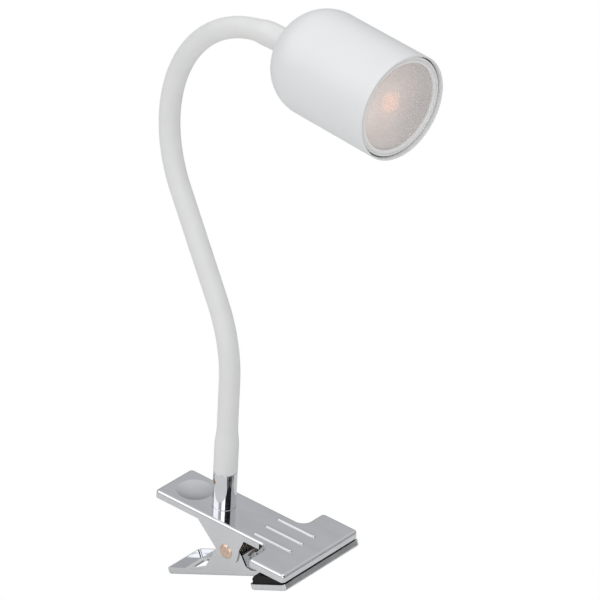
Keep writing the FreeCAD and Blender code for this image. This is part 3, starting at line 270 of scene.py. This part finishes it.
def rivet_copper():
    """A coppery flash on the rivet's heads, worn in patches."""
    s = Surface("rivet_copper", (0.80, 0.62, 0.52), 0.28, Metallic=1.0)
    s.feed("Base Color", s.tint(s.noise(900, 4), (0.70, 0.50, 0.39), (0.88, 0.68, 0.55)))
    s.feed("Roughness", s.spread(s.noise(1500, 3), 0.2, 0.38))
    s.bump((s.noise(700, 3), 0.02 * MM))
    return s.material


def metal(name, first, second, roughness, grain, height, drawn=(1.0, 1.0, 1.0)):
    """A plain metal with a grain, which can be drawn out along an axis."""
    s = Surface(name, first, roughness, Metallic=1.0)
    pattern = s.noise(grain, 5, s.stretched(*drawn))
    s.feed("Base Color", s.tint(pattern, first, second))
    s.feed("Roughness", s.spread(pattern, roughness * 0.75, roughness * 1.3))
    s.bump((pattern, height))
    return s.material


def black_rubber():
    """Moulded rubber: matt, with a fine leathery skin and a little grey dust."""
    s = Surface("black_rubber", (0.010, 0.010, 0.011), 0.66)
    s.shader.inputs["Specular IOR Level"].default_value = 0.3
    dust = s.noise(260, 5)
    s.feed("Base Color", s.tint(dust, (0.008, 0.008, 0.009), (0.020, 0.019, 0.018), 0.4, 0.75))
    s.feed("Roughness", s.spread(dust, 0.52, 0.75))
    s.bump((s.noise(1400, 4), 0.03 * MM), (s.spots(900), 0.02 * MM))
    return s.material


def white_silicone():
    """The neck's soft sleeve: satin, slightly see-through, with a faint grain."""
    s = Surface("white_silicone", (0.84, 0.84, 0.83), 0.42, Subsurface_Weight=0.12)
    s.shader.inputs["Subsurface Radius"].default_value = (1.2 * MM, 1.0 * MM, 0.8 * MM)
    s.shader.inputs["Subsurface Scale"].default_value = 1.0
    s.shader.inputs["Sheen Weight"].default_value = 0.05
    cloud = s.noise(55, 4)
    s.feed("Base Color", s.tint(cloud, (0.830, 0.830, 0.822), (0.855, 0.853, 0.846)))
    s.feed("Roughness", s.spread(s.noise(300, 4), 0.36, 0.50))
    s.bump((s.noise(90, 2), 0.03 * MM), (s.noise(2200, 3), 0.006 * MM))
    return s.material


def white_paint():
    """Satin powder coat with a fine orange peel."""
    s = Surface("white_paint", (0.845, 0.85, 0.86), 0.40)
    s.shader.inputs["Coat Weight"].default_value = 0.12
    s.shader.inputs["Coat Roughness"].default_value = 0.3
    cloud = s.noise(30, 3)
    s.feed("Base Color", s.tint(cloud, (0.835, 0.84, 0.85), (0.855, 0.86, 0.87)))
    s.feed("Roughness", s.spread(s.noise(500, 3), 0.34, 0.47))
    s.bump((s.noise(1100, 2), 0.012 * MM), (s.noise(120, 1), 0.01 * MM))
    return s.material


def moulded(name, first, second, roughness, grain=900, height=0.01 * MM):
    """A moulded or printed surface: cloudy colour, fine grain."""
    s = Surface(name, first, roughness)
    s.feed("Base Color", s.tint(s.noise(70, 4), first, second))
    s.feed("Roughness", s.spread(s.noise(grain / 2, 4), roughness * 0.85, roughness * 1.2))
    s.bump((s.noise(grain, 3), height))
    return s.material


def lens_plastic():
    """Milky plastic, slightly pink, with a painted glow of the LED's light that fades out from a spot on its face.
    Its fine crossed prisms are only bump, not in the mesh.
    """
    s = Surface("lens_plastic", (0.93, 0.88, 0.86), 0.22, Transmission_Weight=0.32, IOR=1.49)
    # Painted light: this emission colour makes the lens glow as if lit by the LED behind it
    s.shader.inputs["Emission Color"].default_value = (1.0, 0.86, 0.80, 1)
    s.feed("Base Color", s.tint(s.noise(60, 3), (0.87, 0.80, 0.78), (0.91, 0.86, 0.84)))
    head = head_placement()
    # Painted glow: emission strongest near one spot on the lens and fading with distance from it
    glow = s.near(head.translation + PAINTED_GLOW_SPOT)
    painted_glow_fade = s.spread(glow, PAINTED_GLOW_STRENGTH, 0.0, PAINTED_GLOW_NEAR, PAINTED_GLOW_FAR)
    s.feed("Emission Strength", painted_glow_fade)
    s.feed("Roughness", s.spread(s.noise(1600, 3), 0.18, 0.28))
    fine = s.ridges(head.col[0] + head.col[1])
    cross = s.ridges(head.col[0] - head.col[1])
    s.bump((fine, PRISM_HEIGHT), (cross, CROSS_HEIGHT))
    return s.material


def phosphor():
    """The LED's orange-yellow phosphor, just lit."""
    s = Surface("phosphor", (0.98, 0.56, 0.22), 0.4)
    s.shader.inputs["Emission Color"].default_value = (1.0, 0.40, 0.10, 1)
    s.shader.inputs["Emission Strength"].default_value = 2.1
    s.feed("Base Color", s.tint(s.noise(1500, 4), (0.96, 0.50, 0.18), (1.0, 0.64, 0.28)))
    s.bump((s.noise(2500, 3), 0.01 * MM))
    return s.material


# Name, first and second colour, roughness, grain, its height and how far it is drawn out
METALS = (
    ("spring_steel", (0.16, 0.14, 0.12), (0.34, 0.29, 0.24), 0.28, 1200, 0.01 * MM, (1, 0.2, 1)),
    ("zinc_steel", (0.56, 0.56, 0.54), (0.70, 0.70, 0.68), 0.34, 800, 0.008 * MM),
    ("core_steel", (0.36, 0.36, 0.37), (0.48, 0.48, 0.49), 0.42, 900, 0.02 * MM, (1, 1, 4)),
    ("brass", (0.42, 0.27, 0.12), (0.60, 0.42, 0.20), 0.32, 1400, 0.01 * MM),
    ("nickel", (0.62, 0.60, 0.56), (0.74, 0.72, 0.68), 0.22, 1100, 0.006 * MM),
)

# Name, first and second colour, roughness, then the grain and its height unless they're the usual
MOULDED = (
    ("lead_insulation", (0.70, 0.67, 0.60), (0.76, 0.73, 0.67), 0.5),
    ("lamp_plastic", (0.88, 0.87, 0.86), (0.91, 0.90, 0.89), 0.38, 1300, 0.006 * MM),
    ("led_board_white", (0.78, 0.75, 0.73), (0.83, 0.80, 0.78), 0.45),
    ("circuit_board", (0.03, 0.14, 0.06), (0.05, 0.20, 0.09), 0.35, 600, 0.03 * MM),
    ("component_black", (0.02, 0.02, 0.022), (0.035, 0.035, 0.038), 0.42),
    ("ceramic", (0.76, 0.72, 0.63), (0.82, 0.78, 0.70), 0.22, 500, 0.02 * MM),
    ("bush_plastic", (0.74, 0.74, 0.72), (0.79, 0.79, 0.77), 0.45),
)


def make_materials():
    """One material for each of the record's slots, and one for the lower lever's floor."""
    made = {
        "chrome": chrome(),
        "chrome_inside": chrome("chrome_inside", 0.20, 0.30),
        "rivet_copper": rivet_copper(),
        "black_rubber": black_rubber(),
        "white_silicone": white_silicone(),
        "white_paint": white_paint(),
        "lens_plastic": lens_plastic(),
        "phosphor": phosphor(),
    }
    for name, *look in METALS:
        made[name] = metal(name, *look)
    for name, *look in MOULDED:
        made[name] = moulded(name, *look)
    return made


def paint_nodes(materials):
    """Gives every CAD node its slot's material."""
    for part in frame["record"]["subparts"]:
        node = frame["nodes"][part["node"]]
        node.data.materials.clear()
        node.data.materials.append(materials[part["material_slot"]])
    dull_inside(frame["nodes"]["lower_lever"], materials["chrome_inside"])


def dull_inside(lever, material):
    """A rougher chrome on the lower lever's floor: the faces that look up into the clip."""
    lever.data.materials.append(material)
    turn = lever.matrix_world.to_3x3()
    for face in lever.data.polygons:
        along = (lever.matrix_world @ face.center).x
        if (turn @ face.normal).z > DULL_FACING and DULL_FROM < along < DULL_TO:
            face.material_index = 1


# ---------------------------------------------------------------- stage and light
def glow_material(name, strength):
    """An even glow."""
    material = bpy.data.materials.new(name)
    material.use_nodes = True
    nodes = material.node_tree.nodes
    nodes.clear()
    glow = nodes.new("ShaderNodeEmission")
    glow.inputs["Strength"].default_value = strength
    output = nodes.new("ShaderNodeOutputMaterial")
    material.node_tree.links.new(glow.outputs["Emission"], output.inputs["Surface"])
    return material


def grey_material(name):
    """A pale matt grey."""
    material = bpy.data.materials.new(name)
    material.use_nodes = True
    shader = material.node_tree.nodes["Principled BSDF"]
    shader.inputs["Base Color"].default_value = (0.78, 0.78, 0.77, 1)
    shader.inputs["Roughness"].default_value = 0.9
    return material


def card(name, width, height, place, target, material, seen_by):
    """A flat card that isn't part of the object, facing a target. Only some rays see it."""
    mesh = bpy.data.meshes.new(name)
    x, y = width / 2, height / 2
    mesh.from_pydata([(-x, -y, 0), (x, -y, 0), (x, y, 0), (-x, y, 0)], [], [(0, 1, 2, 3)])
    obj = bpy.data.objects.new(name, mesh)
    bpy.context.scene.collection.objects.link(obj)
    facing = (Vector(target) - Vector(place)).to_track_quat("Z", "Y")
    obj.matrix_world = Matrix.Translation(place) @ facing.to_matrix().to_4x4()
    mesh.materials.append(material)
    for ray in ("camera", "diffuse", "glossy", "transmission", "volume_scatter", "shadow"):
        setattr(obj, f"visible_{ray}", ray in seen_by)


def make_floor():
    """A plain floor: the camera sees a white one, and a grey one just above it bounces light."""
    grey = Vector((0, 0, FLOOR - FLOOR_GAP))
    white = grey - Vector((0, 0, SEEN_FLOOR_GAP))
    card("floor_seen", 40, 40, white, UP, glow_material("floor_seen", 1.0), ("camera",))
    lit = ("diffuse", "glossy", "transmission", "shadow")
    card("floor_bounce", 8, 8, grey, UP, grey_material("floor_grey"), lit)


def make_dark_cards():
    """Two dark cards that only reflections see: the post's black band and the upper jaw's edge."""
    dark = glow_material("dark_right", DARK)
    card("dark_right", 1.35, 0.7, (1.25, -0.28, 0.74), (0, 0, 0.05), dark, ("glossy",))
    dark = glow_material("dark_floor", DARK)
    card("dark_floor", 0.10, 0.26, (0.160, 0.05, FLOOR), (0.160, 0.05, 1.0), dark, ("glossy",))


def soft_light(name, width, height, place, radiance):
    """A soft box that faces the lamp, set by how bright its face is."""
    data = bpy.data.lights.new(name, "AREA")
    data.shape = "RECTANGLE"
    data.size, data.size_y = width, height
    data.energy = radiance * math.pi * width * height
    light = bpy.data.objects.new(name, data)
    bpy.context.scene.collection.objects.link(light)
    middle = (cad_box[0] + cad_box[1]) / 2
    facing = (middle - Vector(place)).to_track_quat("-Z", "Y")
    light.matrix_world = Matrix.Translation(place) @ facing.to_matrix().to_4x4()


def make_sky():
    """The room: dim at the horizon and brighter overhead."""
    world = bpy.data.worlds.new("studio")
    bpy.context.scene.world = world
    world.use_nodes = True
    nodes, links = world.node_tree.nodes, world.node_tree.links
    background = nodes["Background"]
    background.inputs["Color"].default_value = (0.97, 0.985, 1.0, 1)
    place = nodes.new("ShaderNodeTexCoord")
    height = nodes.new("ShaderNodeSeparateXYZ")
    rise = nodes.new("ShaderNodeMapRange")
    set_range(rise, 0.0, SKY_TOP, SKY_LOW, SKY_HIGH)
    links.new(place.outputs["Generated"], height.inputs["Vector"])
    links.new(height.outputs["Z"], rise.inputs["Value"])
    links.new(rise.outputs["Result"], background.inputs["Strength"])


def make_light():
    """Plain soft studio light."""
    make_sky()
    soft_light("top", 1.0, 1.0, (0.0, 0.1, 1.5), 1.15)
    soft_light("left_front", 1.5, 1.3, (-0.9, -0.9, 1.0), 0.85)
    soft_light("camera_side", 1.6, 1.1, (1.1, -1.1, 0.6), 1.25)
    make_dark_cards()
    bpy.context.scene.view_settings.view_transform = "Standard"


# ---------------------------------------------------------------- gooseneck
class Route:
    """The gooseneck's centreline: straight runs joined by tangent arcs, in one plane."""

    def __init__(self):
        self.pieces = []
        self.point = Vector((0, POST_HEIGHT))
        self.heading = math.pi / 2
        self.length = 0.0
        self.add(RISE - POST_HEIGHT, 0.0)
        self.add(BACK_BEND_RADIUS * BACK_BEND_TURN, 1 / BACK_BEND_RADIUS)
        self.add(SLANT, 0.0)
        turn = BACK_BEND_TURN + math.pi / 2 + HEAD_DIP
        self.add(TOP_BEND_RADIUS * turn, -1 / TOP_BEND_RADIUS)
        self.add(RUN_IN, 0.0)

    def add(self, length, curve):
        """A run, or a bend to the left where the curve is positive."""
        self.pieces.append((self.length, length, self.point, self.heading, curve))
        self.point, self.heading = self.along(self.pieces[-1], length)
        self.length += length

    def along(self, piece, distance):
        """The place and heading this far along one run or bend."""
        _, _, point, heading, curve = piece
        if not curve:
            return point + direction(heading) * distance, heading
        after = heading + distance * curve
        side = (direction(heading + math.pi / 2) - direction(after + math.pi / 2)) / curve
        return point + side, after

    def at(self, distance):
        """The place and the forward direction this far along, in the part's frame."""
        piece = [p for p in self.pieces if p[0] <= max(distance, 0.0) + 1e-9][-1]
        flat, heading = self.along(piece, distance - piece[0])
        return POST_AXIS + in_neck_plane(flat), in_neck_plane(direction(heading))


def direction(heading):
    """The unit vector at a heading in the neck's plane."""
    return Vector((math.cos(heading), math.sin(heading)))


def in_neck_plane(flat):
    """Turns a vector in the neck's plane into one in the part's frame."""
    return Vector((flat.x * math.cos(NECK_AZIMUTH), flat.x * math.sin(NECK_AZIMUTH), flat.y))


ACROSS_NECK = Vector((-math.sin(NECK_AZIMUTH), math.cos(NECK_AZIMUTH), 0))


def smooth(share):
    """An S-shaped ramp from 0 to 1."""
    share = min(max(share, 0.0), 1.0)
    return share * share * (3 - 2 * share)


def sleeve_radius(distance, length):
    """The sleeve's outer radius: thick over both end fittings, with rounded lips."""
    low = 1 - smooth((distance - LOWER_COLLAR) / LOWER_TAPER)
    high = 1 - smooth((length - distance - UPPER_COLLAR) / UPPER_TAPER)
    radius = SLEEVE_RADIUS + (COLLAR_RADIUS - SLEEVE_RADIUS) * max(low, high)
    radius += FOOT_FLARE * (1 - smooth(distance / FOOT_FLARE_LENGTH))
    nearest = min(distance, length - distance)
    if nearest < SLEEVE_LIP:
        radius -= SLEEVE_LIP - math.sqrt(SLEEVE_LIP ** 2 - (SLEEVE_LIP - nearest) ** 2)
    return radius


def turns_of(sides):
    """The angles of a ring's corners."""
    return [2 * math.pi * i / sides for i in range(sides)]


def ring_of(bm, place, forward, radius):
    """A ring of corners round the neck's centreline."""
    out = forward.cross(ACROSS_NECK)
    corners = []
    for turn in turns_of(SLEEVE_SIDES):
        side = out * math.cos(turn) + ACROSS_NECK * math.sin(turn)
        corners.append(bm.verts.new(place + side * radius))
    return corners


def join_rings(bm, rings, closed=False):
    """Faces between each ring and the next."""
    pairs = list(zip(rings, rings[1:]))
    if closed:
        pairs.append((rings[-1], rings[0]))
    for first, second in pairs:
        for i in range(len(first)):
            j = (i + 1) % len(first)
            bm.faces.new((first[i], first[j], second[j], second[i]))


def keep_sharp(ring):
    """Stops smooth shading across the edges of a closed ring."""
    corners = set(ring)
    for vertex in ring:
        for edge in vertex.link_edges:
            if edge.other_vert(vertex) in corners:
                edge.smooth = False


def finish_mesh(name, bm, material):
    """Turns a bmesh into a smooth object."""
    bmesh.ops.recalc_face_normals(bm, faces=bm.faces)
    mesh = bpy.data.meshes.new(name)
    bm.to_mesh(mesh)
    bm.free()
    mesh.shade_smooth()
    mesh.materials.append(material)
    obj = bpy.data.objects.new(name, mesh)
    bpy.context.scene.collection.objects.link(obj)
    return obj


def sleeve_stops(start, end, length):
    """Distances of the rings: about a millimetre apart, and close together round the lips."""
    count = round((end - start) / RING_SPACING)
    stops = [start + (end - start) * i / count for i in range(count + 1)]
    lip = [SLEEVE_LIP * share for share in LIP_RINGS]
    if start == 0.0:
        stops[1:1] = lip
    if end == length:
        stops[-1:-1] = [length - d for d in reversed(lip)]
    return stops


def neck_sleeve(number, route, material):
    """The stretch of sleeve round one joint, from one link's middle to the next's, built in its rest shape."""
    pitch = (route.length - FLEX_START - FLEX_END) / NECK_JOINTS
    start = 0.0 if number == 1 else FLEX_START + pitch * (number - 1)
    end = route.length if number == NECK_JOINTS else FLEX_START + pitch * number
    bm = bmesh.new()
    outer, inner = [], []
    for distance in sleeve_stops(start, end, route.length):
        place, forward = route.at(distance)
        in_collar = distance < LOWER_COLLAR or distance > route.length - RUN_IN
        bore = COLLAR_BORE if in_collar else SLEEVE_BORE
        outer.append(ring_of(bm, place, forward, sleeve_radius(distance, route.length)))
        inner.append(ring_of(bm, place, forward, bore))
    join_rings(bm, outer + inner[::-1], closed=True)
    for ring in (outer[0], outer[-1], inner[0], inner[-1]):
        keep_sharp(ring)
    piece = finish_mesh(f"sleeve_stretch_{number}", bm, material)
    middle = FLEX_START + pitch * (number - 0.5)
    first, _ = route.at(middle - pitch / 2 + BLEND_INSET)
    last, _ = route.at(middle + pitch / 2 - BLEND_INSET)
    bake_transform(piece)
    replaced = [f"neck_sleeve_{number}"]
    if number == NECK_JOINTS:
        replaced.append(f"neck_sleeve_{NECK_JOINTS + 1}")
    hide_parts(*replaced)


# ---------------------------------------------------------------- clip
def hinge_spring(material):
    """The torsion spring between the two levers: a copy of the CAD spring in its rest shape."""
    node = frame["nodes"]["torsion_spring"]
    piece = bpy.data.objects.new("hinge_spring", node.data.copy())
    bpy.context.scene.collection.objects.link(piece)
    piece.data.materials.clear()
    piece.data.materials.append(material)
    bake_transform(piece)
    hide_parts("torsion_spring")


# ---------------------------------------------------------------- lamp
def head_placement():
    """The centre of the head's rim and its axis, with Z out of the mouth."""
    axis = Vector(JOINTS["lamp_twist"]["axis"])
    turn = axis.to_track_quat("Z", "Y").to_matrix().to_4x4()
    return Matrix.Translation(JOINTS["lamp_twist"]["pos_m"]) @ turn


def prismatic_lens(material):
    """The lens: a thin disc, slightly sunk inside a plain border. Its prisms are only bump."""
    bm = bmesh.new()
    profile = [(LENS_RADIUS, -LENS_DEPTH - LENS_THICKNESS)]
    for inset, drop in LENS_PROFILE:
        profile.append((LENS_RADIUS - inset * MM, -LENS_DEPTH - drop * MM))
    rings = []
    for radius, z in profile:
        turns = turns_of(LENS_SIDES)
        corners = [(radius * math.cos(t), radius * math.sin(t), z) for t in turns]
        rings.append([bm.verts.new(corner) for corner in corners])
    join_rings(bm, rings)
    bm.faces.new(rings[0][::-1])
    bm.faces.new(rings[-1])
    keep_sharp(rings[0])
    keep_sharp(rings[1])
    piece = finish_mesh("prismatic_lens", bm, material)
    piece.data.transform(head_placement())
    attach(piece, "lamp")
    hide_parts("lamp_lens")


def rounded_square(side, corner):
    """The outline of a square with round corners."""
    half = side / 2 - corner
    points = []
    for quarter, (right, up) in enumerate(((1, 1), (-1, 1), (-1, -1), (1, -1))):
        for i in range(CORNER_STEPS + 1):
            turn = (quarter + i / CORNER_STEPS) * math.pi / 2
            x = right * half + corner * math.cos(turn)
            points.append((x, up * half + corner * math.sin(turn)))
    return points


def led_phosphor(material):
    """The LED's soft square of phosphor, domed at its edge."""
    bm = bmesh.new()
    rings = []
    for inset, share in CHIP_PROFILE:
        z = CHIP_HEIGHT * share - BOARD_DEPTH
        outline = rounded_square(CHIP_SIDE - 2 * inset * MM, CHIP_CORNER - inset * MM)
        rings.append([bm.verts.new((x, y, z)) for x, y in outline])
    join_rings(bm, rings)
    bm.faces.new(rings[-1])
    bm.faces.new(rings[0][::-1])
    piece = finish_mesh("led_phosphor", bm, material)
    piece.data.transform(head_placement())
    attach(piece, "lamp")
    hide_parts("led_chip")


# ---------------------------------------------------------------- everything
make_camera()
materials = make_materials()
paint_nodes(materials)
route = Route()
for number in range(1, NECK_JOINTS + 1):
    neck_sleeve(number, route, materials["white_silicone"])
hinge_spring(materials["spring_steel"])
prismatic_lens(materials["lens_plastic"])
led_phosphor(materials["phosphor"])
make_floor()
make_light()
